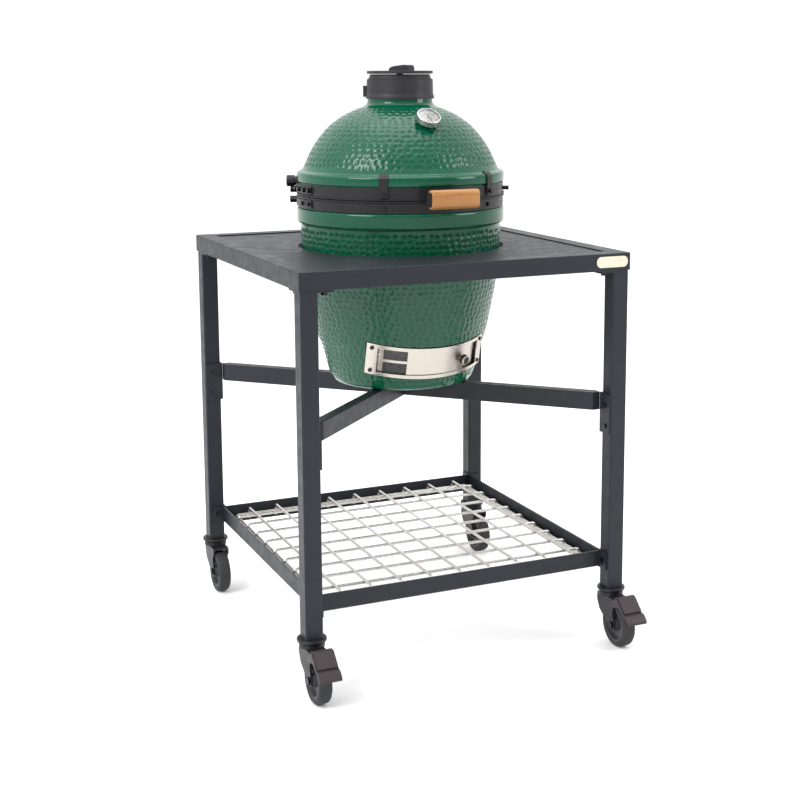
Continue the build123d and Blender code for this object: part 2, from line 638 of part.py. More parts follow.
# =================================================================== ceramic dome and what it carries
with BuildPart() as dome:
    with BuildSketch(SEC):
        with BuildLine():
            Polyline((208, 118.5), (231, 118.5), (231, 144.5), (234.4, 145.6), (236, 148), (236, 161), (235, 164), (231, 168))
            Spline((231, 168), (227.6, 169.4), (224, 171.5), (219.5, 179), (213, 193), (207, 207), (199, 221), (190, 235),
                   (179.5, 248.5), (167, 262.5), (151, 276.5), (130, 290.5), (116, 298), (100, 305), (84, 311.5),
                   (76.5, 316.5), (73.5, 324))
            Polyline((73.5, 324), (73.5, 344), (52, 344), (52, 306))
            Spline((52, 306), (60, 296), (92, 284), (118, 271), (146, 251), (168, 226), (186, 196), (198, 170), (205, 140), (206, 121))
            Line((206, 121), (208, 118.5))
        make_face()
    revolve(axis=AX)
    # thermometer hole and its flat seat
    el = radians(54)
    n = (0, -cos(el), sin(el))
    tc = (0, -161 + YC, H + 295)
    with BuildSketch(Plane(origin=(tc[0], tc[1] - 21.6 * n[1], tc[2] - 21.6 * n[2]), x_dir=(1, 0, 0), z_dir=n)):
        Circle(11.5)
    extrude(amount=12, mode=Mode.SUBTRACT)
    with BuildSketch(Plane(origin=(tc[0], tc[1] - 70 * n[1], tc[2] - 70 * n[2]), x_dir=(1, 0, 0), z_dir=n)):
        Circle(4.5)
    extrude(amount=60, mode=Mode.SUBTRACT)
dome.part.label = "dome"
export_step(dome.part, "parts/dome.step")


def dial(off):
    """Plane across the thermometer at distance off in front of the bezel."""
    return Plane(origin=(0, tc[1] + off * n[1], tc[2] + off * n[2]), x_dir=(1, 0, 0), z_dir=n)


with BuildPart() as thermometer_body:
    with BuildSketch(dial(-14)):
        Circle(27)
    extrude(amount=14)
    fillet(thermometer_body.edges().filter_by(GeomType.CIRCLE), 1.5)
    with BuildSketch(dial(-5)):
        Circle(24.2)
    extrude(amount=6, mode=Mode.SUBTRACT)
    with BuildSketch(dial(-21.6)):
        Circle(10)
    extrude(amount=8)
    with BuildSketch(dial(-110)):
        Circle(3)
    extrude(amount=90)
    with BuildSketch(dial(-5.5)):
        Circle(1.4)
    extrude(amount=3.4)
thermometer_body.part.label = "thermometer_body"
export_step(thermometer_body.part, "parts/thermometer_body.step")

with BuildPart() as thermometer_needle:
    with BuildSketch(dial(-4.2)):
        Circle(3.4)
        with BuildLine():
            Polyline((-1.6, 2), (-1.1, 9), (1.1, 9), (1.6, 2), (3.2, -20.2), (2.4, -20.5), (-1.6, 2))
        make_face()
        Circle(1.5, mode=Mode.SUBTRACT)
    extrude(amount=0.8)
thermometer_needle.part.label = "thermometer_needle"
export_step(thermometer_needle.part, "parts/thermometer_needle.step")

with BuildPart() as thermometer_lens:
    with BuildSketch(dial(-1.9)):
        Circle(24.2)
    extrude(amount=1.2)
thermometer_lens.part.label = "thermometer_lens"
export_step(thermometer_lens.part, "parts/thermometer_lens.step")

with BuildPart() as upper_gasket:
    with BuildSketch(at(z=H + 116.2)):
        Circle(230)
        Circle(208.2, mode=Mode.SUBTRACT)
    extrude(amount=2.3)
upper_gasket.part.label = "upper_gasket"
export_step(upper_gasket.part, "parts/upper_gasket.step")

with BuildPart() as upper_band:
    with BuildSketch(SEC):
        with BuildLine():
            Polyline((231, 117), (236.6, 117), (236.6, 119.6), (234, 121.2), (234, 143), (231, 143), (231, 117))
        make_face()
    revolve(axis=AX)
upper_band.part.label = "upper_band"
export_step(upper_band.part, "parts/upper_band.step")

# clips that hook over the rim of the dome
clip_arc = 4.7
with BuildPart() as dome_clips:
    for d in (-32, 32):
        with BuildSketch(radial(d - clip_arc / 2)):
            with BuildLine():
                Polyline((236.6, 122), (239.2, 122), (239.4, 164), (233.2, 170.6), (226.2, 174), (224.9, 171.6), (231.8, 168.2),
                         (236.6, 163), (236.6, 122))
            make_face()
        revolve(axis=AX, revolution_arc=clip_arc)
        with BuildSketch(radial(d - clip_arc / 2)):
            with Locations((235.3, 130)):
                Rectangle(2.6, 12)
        revolve(axis=AX, revolution_arc=clip_arc)
dome_clips.part.label = "dome_clips"
export_step(dome_clips.part, "parts/dome_clips.step")

with BuildPart() as hinge_lid_bracket:
    with BuildSketch(radial(79)):
        with Locations((235.5, 131.5)):
            Rectangle(3, 18)
    revolve(axis=AX, revolution_arc=202)
    for x in (-60, 60):
        with BuildSketch(at(x, 0, H, x_dir=(0, 1, 0), z_dir=(1, 0, 0))):
            with BuildLine():
                Polyline((229.5, 124), (244, 122), (251, 110), (258, 105.5), (268, 105), (276.5, 111), (278, 120), (273, 129),
                         (258, 136), (229.5, 139.5), (229.5, 124))
            make_face()
            with Locations((HINGE_Y, HINGE_Z)):
                Circle(6.08, mode=Mode.SUBTRACT)
        extrude(amount=2, both=True)
hinge_lid_bracket.part.label = "hinge_lid_bracket"
export_step(hinge_lid_bracket.part, "parts/hinge_lid_bracket.step")

with BuildPart() as upper_band_bolts:
    for d, r, z, rad, out in ((-32, 239.35, 130, 5, 4.5), (32, 239.35, 130, 5, 4.5), (-81, 237, 131.5, 6, 6), (81, 237, 131.5, 6, 6),
                              (-87, 237, 131.5, 6, 6), (87, 237, 131.5, 6, 6), (-95, 237, 131.5, 6, 6), (95, 237, 131.5, 6, 6),
                              (-103, 237, 131.5, 6, 6), (103, 237, 131.5, 6, 6), (62, 234, 128, 5, 13), (-118, 237, 124, 8, 16), (118, 237, 124, 8, 16)):
        with BuildSketch(outward(d, r, z)):
            RegularPolygon(rad, 6)
        extrude(amount=out)
    for d in (-118, 118):
        with BuildSketch(outward(d, 237, 143)):
            Circle(10)
        extrude(amount=8)
        with BuildSketch(outward(d, 244, 143)):
            Circle(13)
        extrude(amount=17)
upper_band_bolts.part.label = "upper_band_bolts"
export_step(upper_band_bolts.part, "parts/upper_band_bolts.step")

# handle: a cradle with end plates and a cross rod holds the grip, two arms reach back to the band
with BuildPart() as handle_bracket:
    with BuildSketch(at(0, -273.2, H + 122.5, x_dir=(1, 0, 0), z_dir=(0, -1, 0))):
        RectangleRounded(114.6, 24, 3)
    extrude(amount=2.6)
    for s in (-1, 1):
        with BuildSketch(at(s * 55.3, -285, H + 122.5, x_dir=(0, s, 0), z_dir=(s, 0, 0))):
            RectangleRounded(23.6, 30, 6)
        extrude(amount=2)
        with BuildSketch(at(s * 36, 0, H, x_dir=(0, s, 0), z_dir=(s, 0, 0))):
            with BuildLine():
                Polyline(*[(s * a, b) for a, b in ((-232.2, 121.5), (-232.2, 139.5), (-250, 139.5), (-273.4, 133), (-273.4, 113),
                                                   (-250, 119))], close=True)
            make_face()
        extrude(amount=4)
        with BuildSketch(radial(5.4 if s > 0 else -12.4)):
            with Locations((235.4, 131)):
                Rectangle(2.8, 18)
        revolve(axis=AX, revolution_arc=7)
    with BuildSketch(at(-56, -288, H + 122.5, x_dir=(0, 1, 0), z_dir=(1, 0, 0))):
        Circle(4)
    extrude(amount=112)
handle_bracket.part.label = "handle_bracket"
export_step(handle_bracket.part, "parts/handle_bracket.step")

with BuildPart() as handle_grip:
    with BuildSketch(at(-55.2, -288, H + 122.5, x_dir=(0, 1, 0), z_dir=(1, 0, 0))):
        RectangleRounded(24, 41, 9)
        Circle(4, mode=Mode.SUBTRACT)
    extrude(amount=110.4)
    fillet(handle_grip.faces().filter_by(Axis.X).edges().filter_by(lambda e: not (e.geom_type == GeomType.CIRCLE and abs(e.radius - 4) < 0.1)), 2.5)
handle_grip.part.label = "handle_grip"
export_step(handle_grip.part, "parts/handle_grip.step")

# chimney cap
with BuildPart() as cap_body:
    with BuildSketch(SEC):
        with BuildLine():
            Polyline((73.5, 329), (77.5, 329), (77.5, 334), (75.2, 340), (74.6, 372), (71, 373.5), (67, 383.2), (8, 383.2), (8, 384), (4.5, 384),
                     (4.5, 391), (0, 391), (0, 379), (62, 379), (67.5, 368), (68, 344), (73.5, 344), (73.5, 329))
        make_face()
    revolve(axis=AX)
    # clamping tab
    with BuildSketch(outward(-118, 72, 345.5)):
        Rectangle(13, 25)
    extrude(amount=11)
    # remove the tab inside the bore
    with BuildSketch(at(z=H + 329)):
        Circle(68)
    extrude(amount=39, mode=Mode.SUBTRACT)
    with BuildSketch(at(z=H + 329)):
        Circle(73.5)
    extrude(amount=15, mode=Mode.SUBTRACT)
    # vent holes
    with BuildSketch(at(z=H + 370)):
        with PolarLocations(34, 3, start_angle=30):
            Circle(15)
    extrude(amount=16, mode=Mode.SUBTRACT)
cap_body.part.label = "cap_body"
export_step(cap_body.part, "parts/cap_body.step")

kd = radians(KNOB_TURN)
with BuildPart() as cap_damper:
    with BuildSketch(SEC):
        with BuildLine():
            Polyline((4.58, 384.3), (73.2, 384.3), (74.5, 385.4), (74.5, 390.2), (73.6, 391), (71.4, 391), (70.2, 390.2),
                     (4.58, 390.2), (4.58, 384.3))
        make_face()
    revolve(axis=AX)
    with BuildSketch(at(z=H + 383)):
        with PolarLocations(34, 3, start_angle=90):
            Circle(14)
    extrude(amount=10, mode=Mode.SUBTRACT)
    # knob block, lower towards its back end
    with BuildSketch(Plane(origin=(0, YC, H), x_dir=(sin(kd), -cos(kd), 0), z_dir=(-cos(kd), -sin(kd), 0))):
        with BuildLine():
            Polyline((-26, 390.1), (-26, 395.5), (-23, 398.6), (-12, 401.2), (22, 404), (33, 404), (37.2, 402), (39, 398),
                     (39, 390.1), (-26, 390.1))
        make_face()
    extrude(amount=10, both=True)
    with BuildSketch(Plane(origin=(0, YC, H), x_dir=(sin(kd), -cos(kd), 0), z_dir=(-cos(kd), -sin(kd), 0))):
        with BuildLine():
            Polyline((-25, 390.1), (-25, 395), (-22, 397.4), (-12, 399.8), (22, 402.4), (32.6, 402.4), (36, 400.8),
                     (37.6, 397.4), (37.6, 390.1), (-25, 390.1))
        make_face()
    extrude(amount=12, both=True)
    with BuildSketch(at(z=H + 388)):
        Circle(6.2)
    extrude(amount=5, mode=Mode.SUBTRACT)
cap_damper.part.label = "cap_damper"
export_step(cap_damper.part, "parts/cap_damper.step")
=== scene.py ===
import math

import bmesh
import bpy
import numpy as np
from mathutils import Matrix, Vector


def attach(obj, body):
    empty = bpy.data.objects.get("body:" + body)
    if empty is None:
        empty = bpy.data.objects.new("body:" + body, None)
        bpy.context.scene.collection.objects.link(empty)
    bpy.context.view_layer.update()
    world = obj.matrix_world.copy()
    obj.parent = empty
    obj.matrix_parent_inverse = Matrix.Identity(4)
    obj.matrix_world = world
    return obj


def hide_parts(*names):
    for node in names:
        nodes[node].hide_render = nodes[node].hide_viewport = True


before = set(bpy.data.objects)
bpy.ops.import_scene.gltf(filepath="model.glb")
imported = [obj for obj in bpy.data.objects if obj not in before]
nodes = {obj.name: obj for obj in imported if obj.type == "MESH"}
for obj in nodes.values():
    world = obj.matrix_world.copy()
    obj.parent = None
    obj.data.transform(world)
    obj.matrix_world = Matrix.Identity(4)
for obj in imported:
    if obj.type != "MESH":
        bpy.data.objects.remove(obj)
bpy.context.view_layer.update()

YC = 0.045          # axis of the ceramic body
H = 0.887           # table top
TAU = math.radians(14.7)

# ------------------------------------------------------------------ camera
cam_data = bpy.data.cameras.new("camera")
cam = bpy.data.objects.new("camera", cam_data)
bpy.context.scene.collection.objects.link(cam)
right = Vector((0.910934, -0.41254, -0.003152)).normalized()
back = Vector((-0.406937, -0.899766, 0.157558)).normalized()
up = back.cross(right).normalized()
m = Matrix.Identity(4)
for i in range(3):
    m[i][0], m[i][1], m[i][2] = right[i], up[i], back[i]
m[0][3], m[1][3], m[2][3] = -1.27715, -2.94068, 1.2625
cam.matrix_world = m
cam_data.sensor_width = 36
cam_data.sensor_fit = "HORIZONTAL"
cam_data.lens = 63.848
cam_data.shift_x = -0.0375
cam_data.shift_y = -0.12
cam_data.clip_end = 100
bpy.context.scene.camera = cam


# ------------------------------------------------------------------ material helpers
class Mat:
    """A small builder for node materials."""

    def __init__(self, name, rough=0.5, metallic=0.0, coat=0.0, coat_rough=0.05, ior=1.5, spec=0.5):
        self.m = bpy.data.materials.new(name)
        self.m.use_nodes = True
        self.nt = self.m.node_tree
        self.b = self.nt.nodes["Principled BSDF"]
        self.b.inputs["Roughness"].default_value = rough
        self.b.inputs["Metallic"].default_value = metallic
        self.b.inputs["Coat Weight"].default_value = coat
        self.b.inputs["Coat Roughness"].default_value = coat_rough
        self.b.inputs["IOR"].default_value = ior
        self.b.inputs["Specular IOR Level"].default_value = spec
        self.co = self.nt.nodes.new("ShaderNodeTexCoord")

    def node(self, kind, **kw):
        n = self.nt.nodes.new(kind)
        for k, v in kw.items():
            setattr(n, k, v)
        return n

    def link(self, a, b):
        self.nt.links.new(a, b)

    def noise(self, scale, detail=3.0, rough=0.5, stretch=(1, 1, 1), distortion=0.0):
        mp = self.node("ShaderNodeMapping")
        mp.inputs["Scale"].default_value = stretch
        self.link(self.co.outputs["Object"], mp.inputs["Vector"])
        n = self.node("ShaderNodeTexNoise")
        n.inputs["Scale"].default_value = scale
        n.inputs["Detail"].default_value = detail
        n.inputs["Roughness"].default_value = rough
        n.inputs["Distortion"].default_value = distortion
        self.link(mp.outputs["Vector"], n.inputs["Vector"])
        return n.outputs["Fac"]

    def ramp(self, fac, stops):
        r = self.node("ShaderNodeValToRGB")
        e = r.color_ramp.elements
        while len(e) > len(stops):
            e.remove(e[-1])
        while len(e) < len(stops):
            e.new(0.5)
        for el, (p, c) in zip(e, stops):
            el.position = p
            el.color = (c[0], c[1], c[2], 1) if len(c) == 3 else c
        self.link(fac, r.inputs["Fac"])
        return r.outputs["Color"]

    def mix(self, fac, a, b, mode="MIX"):
        n = self.node("ShaderNodeMix", data_type="RGBA", blend_type=mode)
        for s, v in ((n.inputs[0], fac), (n.inputs[6], a), (n.inputs[7], b)):
            if isinstance(v, (int, float)):
                s.default_value = v
            elif isinstance(v, tuple):
                s.default_value = (v[0], v[1], v[2], 1)
            else:
                self.link(v, s)
        return n.outputs[2]

    def map(self, fac, lo, hi, a=0.0, b=1.0):
        n = self.node("ShaderNodeMapRange")
        n.inputs["From Min"].default_value = a
        n.inputs["From Max"].default_value = b
        n.inputs["To Min"].default_value = lo
        n.inputs["To Max"].default_value = hi
        self.link(fac, n.inputs["Value"])
        return n.outputs["Result"]

    def color(self, c):
        self.link(c, self.b.inputs["Base Color"])

    def roughness(self, r):
        self.link(r, self.b.inputs["Roughness"])

    def bump(self, height, strength=0.3, distance=0.0004):
        n = self.node("ShaderNodeBump")
        n.inputs["Strength"].default_value = strength
        n.inputs["Distance"].default_value = distance
        self.link(height, n.inputs["Height"])
        self.link(n.outputs["Normal"], self.b.inputs["Normal"])
        return n

    def attr(self, name):
        n = self.node("ShaderNodeAttribute")
        n.attribute_name = name
        return n.outputs["Fac"]


def powder(name, dark, light, rough=0.48, grain=1400, bump=0.18):
    k = Mat(name, rough=rough, spec=0.28)
    fine = k.noise(grain, 2)
    broad = k.noise(9, 3)
    base = k.ramp(fine, [(0.35, dark), (0.7, light)])
    shade = k.ramp(broad, [(0.3, (0.88, 0.88, 0.88)), (0.7, (1.0, 1.0, 1.0))])
    k.color(k.mix(1.0, base, shade, "MULTIPLY"))
    k.roughness(k.map(k.noise(40, 4), rough - 0.07, rough + 0.08, 0.3, 0.7))
    k.bump(fine, bump, 0.00012)
    return k.m


def glaze():
    k = Mat("glaze_green", rough=0.16, coat=0.15, coat_rough=0.06, ior=1.5, spec=0.32)
    dent_depth = k.attr("dent_depth")
    cloud = k.noise(14, 4, 0.55)
    # Painted shade: the green gets darker as the dent depth grows, so the dimples carry painted shade in their colour.
    dent_shade_color = k.ramp(dent_depth, [(0.0, (0.0005, 0.080, 0.040)), (0.45, (0.0005, 0.070, 0.035)), (1.0, (0.0, 0.048, 0.024))])
    tone = k.ramp(cloud, [(0.25, (0.82, 0.86, 0.84)), (0.75, (1.0, 1.0, 1.0))])
    k.color(k.mix(1.0, dent_shade_color, tone, "MULTIPLY"))
    k.roughness(k.map(dent_depth, 0.15, 0.3, 0.1, 0.9))
    k.bump(k.noise(160, 2), 0.05, 0.0004)
    return k.m


def rough_clay():
    k = Mat("fire_clay", rough=0.92, spec=0.2)
    n = k.noise(60, 6, 0.65)
    soot = k.noise(7, 3)
    c = k.ramp(n, [(0.3, (0.33, 0.26, 0.2)), (0.7, (0.56, 0.46, 0.36))])
    k.color(k.mix(k.map(soot, 0.0, 0.55, 0.45, 0.7), c, (0.06, 0.052, 0.045)))
    k.bump(n, 0.5, 0.0008)
    return k.m


def cast(name, c0, c1, rough=0.6, bump=0.35, scale=420):
    k = Mat(name, rough=rough, spec=0.3)
    n = k.noise(scale, 5, 0.6)
    k.color(k.ramp(n, [(0.3, c0), (0.72, c1)]))
    k.roughness(k.map(k.noise(35, 3), rough - 0.08, rough + 0.1, 0.3, 0.7))
    k.bump(n, bump, 0.0003)
    return k.m


def metal(name, c0, c1, rough=0.28, stretch=(1, 1, 1), scale=300, bump=0.12):
    k = Mat(name, rough=rough, metallic=1.0)
    n = k.noise(scale, 4, 0.6, stretch)
    k.color(k.ramp(n, [(0.3, c0), (0.7, c1)]))
    k.roughness(k.map(n, rough - 0.07, rough + 0.09, 0.3, 0.7))
    k.bump(n, bump, 0.0001)
    return k.m


def rubber():
    k = Mat("tyre_rubber", rough=0.7, spec=0.35)
    n = k.noise(500, 4, 0.6)
    d = k.noise(22, 4, 0.6)
    c = k.ramp(n, [(0.3, (0.016, 0.017, 0.018)), (0.7, (0.03, 0.031, 0.033))])
    k.color(k.mix(k.map(d, 0.0, 0.25, 0.5, 0.75), c, (0.075, 0.073, 0.07)))
    k.bump(n, 0.3, 0.0002)
    return k.m


def felt():
    k = Mat("felt", rough=0.98, spec=0.1)
    n = k.noise(900, 4, 0.7)
    k.color(k.ramp(n, [(0.3, (0.008, 0.008, 0.008)), (0.75, (0.035, 0.034, 0.033))]))
    k.b.inputs["Sheen Weight"].default_value = 0.3
    k.bump(n, 0.8, 0.0006)
    return k.m


def bamboo():
    k = Mat("bamboo", rough=0.42, coat=0.15, coat_rough=0.3)
    fibre = k.noise(90, 5, 0.6, (0.05, 1.0, 1.0), 0.4)
    broad = k.noise(26, 3, 0.5, (0.16, 1.0, 1.4))
    fleck = k.noise(380, 3, 0.6, (0.07, 1.0, 1.0))
    c = k.ramp(fibre, [(0.28, (0.22, 0.084, 0.019)), (0.5, (0.35, 0.148, 0.036)), (0.75, (0.45, 0.215, 0.064))])
    c = k.mix(k.map(broad, 0.0, 0.4, 0.4, 0.7), c, (0.30, 0.125, 0.033))
    c = k.mix(k.map(fleck, 0.0, 0.5, 0.58, 0.72), c, (0.19, 0.072, 0.019))
    k.color(c)
    k.roughness(k.map(fibre, 0.36, 0.52, 0.3, 0.7))
    k.bump(fibre, 0.25, 0.0003)
    return k.m


def simple_tex(name, c0, c1, rough, scale=200, metallic=0.0, bump=0.1):
    k = Mat(name, rough=rough, metallic=metallic)
    n = k.noise(scale, 3)
    k.color(k.ramp(n, [(0.3, c0), (0.7, c1)]))
    k.roughness(k.map(k.noise(30, 3), rough - 0.04, rough + 0.05, 0.3, 0.7))
    k.bump(n, bump, 0.0002)
    return k.m


M_frame = powder("powder_anthracite", (0.0095, 0.0118, 0.0165), (0.0195, 0.0235, 0.0305), 0.42)
M_panel = powder("powder_panel", (0.0110, 0.0132, 0.0175), (0.0215, 0.0250, 0.0310), 0.46)
M_band = powder("band_coat", (0.0095, 0.0095, 0.0110), (0.0200, 0.0200, 0.0225), 0.36, 900, 0.25)
M_caster = powder("caster_coat", (0.0100, 0.0100, 0.0125), (0.0210, 0.0205, 0.0240), 0.4, 900, 0.22)
M_pedal = powder("pedal_coat", (0.0300, 0.0225, 0.0250), (0.0520, 0.0400, 0.0440), 0.45, 900, 0.22)
M_screw = metal("black_screw", (0.02, 0.02, 0.022), (0.05, 0.05, 0.054), 0.35)
M_glaze = glaze()
M_clay = rough_clay()
M_grate = cast("cast_iron", (0.018, 0.018, 0.019), (0.045, 0.044, 0.044))
M_cap = cast("cap_coat", (0.0110, 0.0110, 0.0130), (0.0240, 0.0235, 0.0265), 0.5, 0.25)
M_wire = metal("shelf_wire", (0.50, 0.48, 0.46), (0.66, 0.64, 0.61), 0.3, (1, 1, 1), 260, 0.2)
M_grid = metal("grid_wire", (0.5, 0.5, 0.5), (0.68, 0.68, 0.67), 0.25)
M_steel = metal("stainless", (0.47, 0.43, 0.385), (0.54, 0.50, 0.45), 0.3, (0.06, 0.06, 1.0), 900, 0.02)
M_mesh = metal("mesh_wire", (0.10, 0.10, 0.10), (0.2, 0.2, 0.2), 0.4)
M_bezel = metal("bezel", (0.40, 0.40, 0.39), (0.50, 0.50, 0.49), 0.26)
M_spring = metal("zinc", (0.36, 0.36, 0.37), (0.5, 0.5, 0.52), 0.3)
M_pin = metal("pin_steel", (0.05, 0.05, 0.053), (0.12, 0.12, 0.125), 0.3)
M_tyre = rubber()
M_hub = simple_tex("hub_plastic", (0.03, 0.03, 0.033), (0.05, 0.05, 0.054), 0.45, 500, 0.0, 0.2)
M_felt = felt()
M_wood = bamboo()
M_badge = simple_tex("badge_enamel", (0.60, 0.54, 0.42), (0.70, 0.64, 0.51), 0.38, 120)
M_dial = simple_tex("dial_paper", (0.40, 0.40, 0.385), (0.47, 0.47, 0.45), 0.6, 300)
M_ink = simple_tex("dial_ink", (0.012, 0.012, 0.012), (0.02, 0.02, 0.02), 0.5, 300)
M_knob = simple_tex("door_knob", (0.009, 0.008, 0.009), (0.018, 0.016, 0.017), 0.42, 300)

glass = Mat("lens_glass", rough=0.03, ior=1.48)
glass.b.inputs["Transmission Weight"].default_value = 1.0
glass.color(glass.ramp(glass.noise(60, 2), [(0.3, (0.95, 0.97, 0.96)), (0.7, (1.0, 1.0, 1.0))]))
M_lens = glass.m


def paint(name, mat, smooth=None):
    ob = nodes[name]
    if not ob.material_slots:
        ob.data.materials.append(mat)
    for s in ob.material_slots:
        s.material = mat


FRAME_NODES = ["border_frame", "brace_bars", "leg_brackets", "shelf_rails"]
SIDES = ["front_left", "front_right", "back_left", "back_right"]
for s in SIDES:
    FRAME_NODES.append(s + "_leg")
    paint(s + "_caster_fork", M_caster)
    paint(s + "_axle_bolt", M_screw)
    paint(s + "_tyre", M_tyre)
    paint(s + "_wheel_hub", M_hub)
for s in SIDES[:2]:
    paint(s + "_brake_pedal", M_pedal)
for n in FRAME_NODES:
    paint(n, M_frame)
for n, mt in (("table_panel", M_panel), ("frame_bolts", M_screw), ("frame_screws", M_screw), ("shelf_grid", M_wire),
              ("badge_plate", M_badge), ("caster_collars", M_caster), ("ceramic_base", M_glaze), ("firebox", M_clay),
              ("fire_grate", M_grate), ("fire_ring", M_clay), ("cooking_grid", M_grid), ("lower_gasket", M_felt),
              ("lower_band", M_band), ("hinge_base_bracket", M_band), ("hinge_pin", M_pin), ("hinge_springs", M_spring),
              ("base_fasteners", M_screw), ("draft_frame", M_steel), ("draft_screen", M_steel), ("draft_mesh", M_mesh),
              ("draft_door", M_steel), ("dome", M_glaze), ("thermometer_body", M_bezel), ("thermometer_needle", M_ink),
              ("thermometer_lens", M_lens), ("upper_gasket", M_felt), ("upper_band", M_band), ("dome_clips", M_band),
              ("hinge_lid_bracket", M_band), ("upper_band_bolts", M_screw), ("handle_bracket", M_band),
              ("handle_grip", M_wood), ("cap_body", M_cap), ("cap_damper", M_cap)):
    paint(n, mt)


# ------------------------------------------------------------------ mesh helpers
def new_object(name, verts, faces, mat, smooth=True):
    me = bpy.data.meshes.new(name)
    me.from_pydata([tuple(v) for v in verts], [], [tuple(f) for f in faces])
    me.update()
    ob = bpy.data.objects.new(name, me)
    bpy.context.scene.collection.objects.link(ob)
    me.materials.append(mat)
    if smooth:
        me.polygons.foreach_set("use_smooth", [True] * len(me.polygons))
    return ob


def catmull(points, n_per):
    """Smooth curve through points, n_per samples per span."""
    p = np.array(points, float)
    p = np.vstack([2 * p[0] - p[1], p, 2 * p[-1] - p[-2]])
    out = []
    for i in range(1, len(p) - 2):
        p0, p1, p2, p3 = p[i - 1], p[i], p[i + 1], p[i + 2]
        t0 = 0.0
        t1 = t0 + np.linalg.norm(p1 - p0) ** 0.5
        t2 = t1 + np.linalg.norm(p2 - p1) ** 0.5
        t3 = t2 + np.linalg.norm(p3 - p2) ** 0.5
        for t in np.linspace(t1, t2, n_per, endpoint=False):
            a1 = (t1 - t) / (t1 - t0) * p0 + (t - t0) / (t1 - t0) * p1
            a2 = (t2 - t) / (t2 - t1) * p1 + (t - t1) / (t2 - t1) * p2
            a3 = (t3 - t) / (t3 - t2) * p2 + (t - t2) / (t3 - t2) * p3
            b1 = (t2 - t) / (t2 - t0) * a1 + (t - t0) / (t2 - t0) * a2
            b2 = (t3 - t) / (t3 - t1) * a2 + (t - t1) / (t3 - t1) * a3
            out.append((t2 - t) / (t2 - t1) * b1 + (t - t1) / (t2 - t1) * b2)
    out.append(p[-2])
    return np.array(out)


def resample(curve, step):
    """Even spacing along a polyline of (r, z)."""
    d = np.concatenate([[0], np.cumsum(np.linalg.norm(np.diff(curve, axis=0), axis=1))])
    n = max(2, int(round(d[-1] / step)) + 1)
    s = np.linspace(0, d[-1], n)
    return np.column_stack([np.interp(s, d, curve[:, 0]), np.interp(s, d, curve[:, 1])])


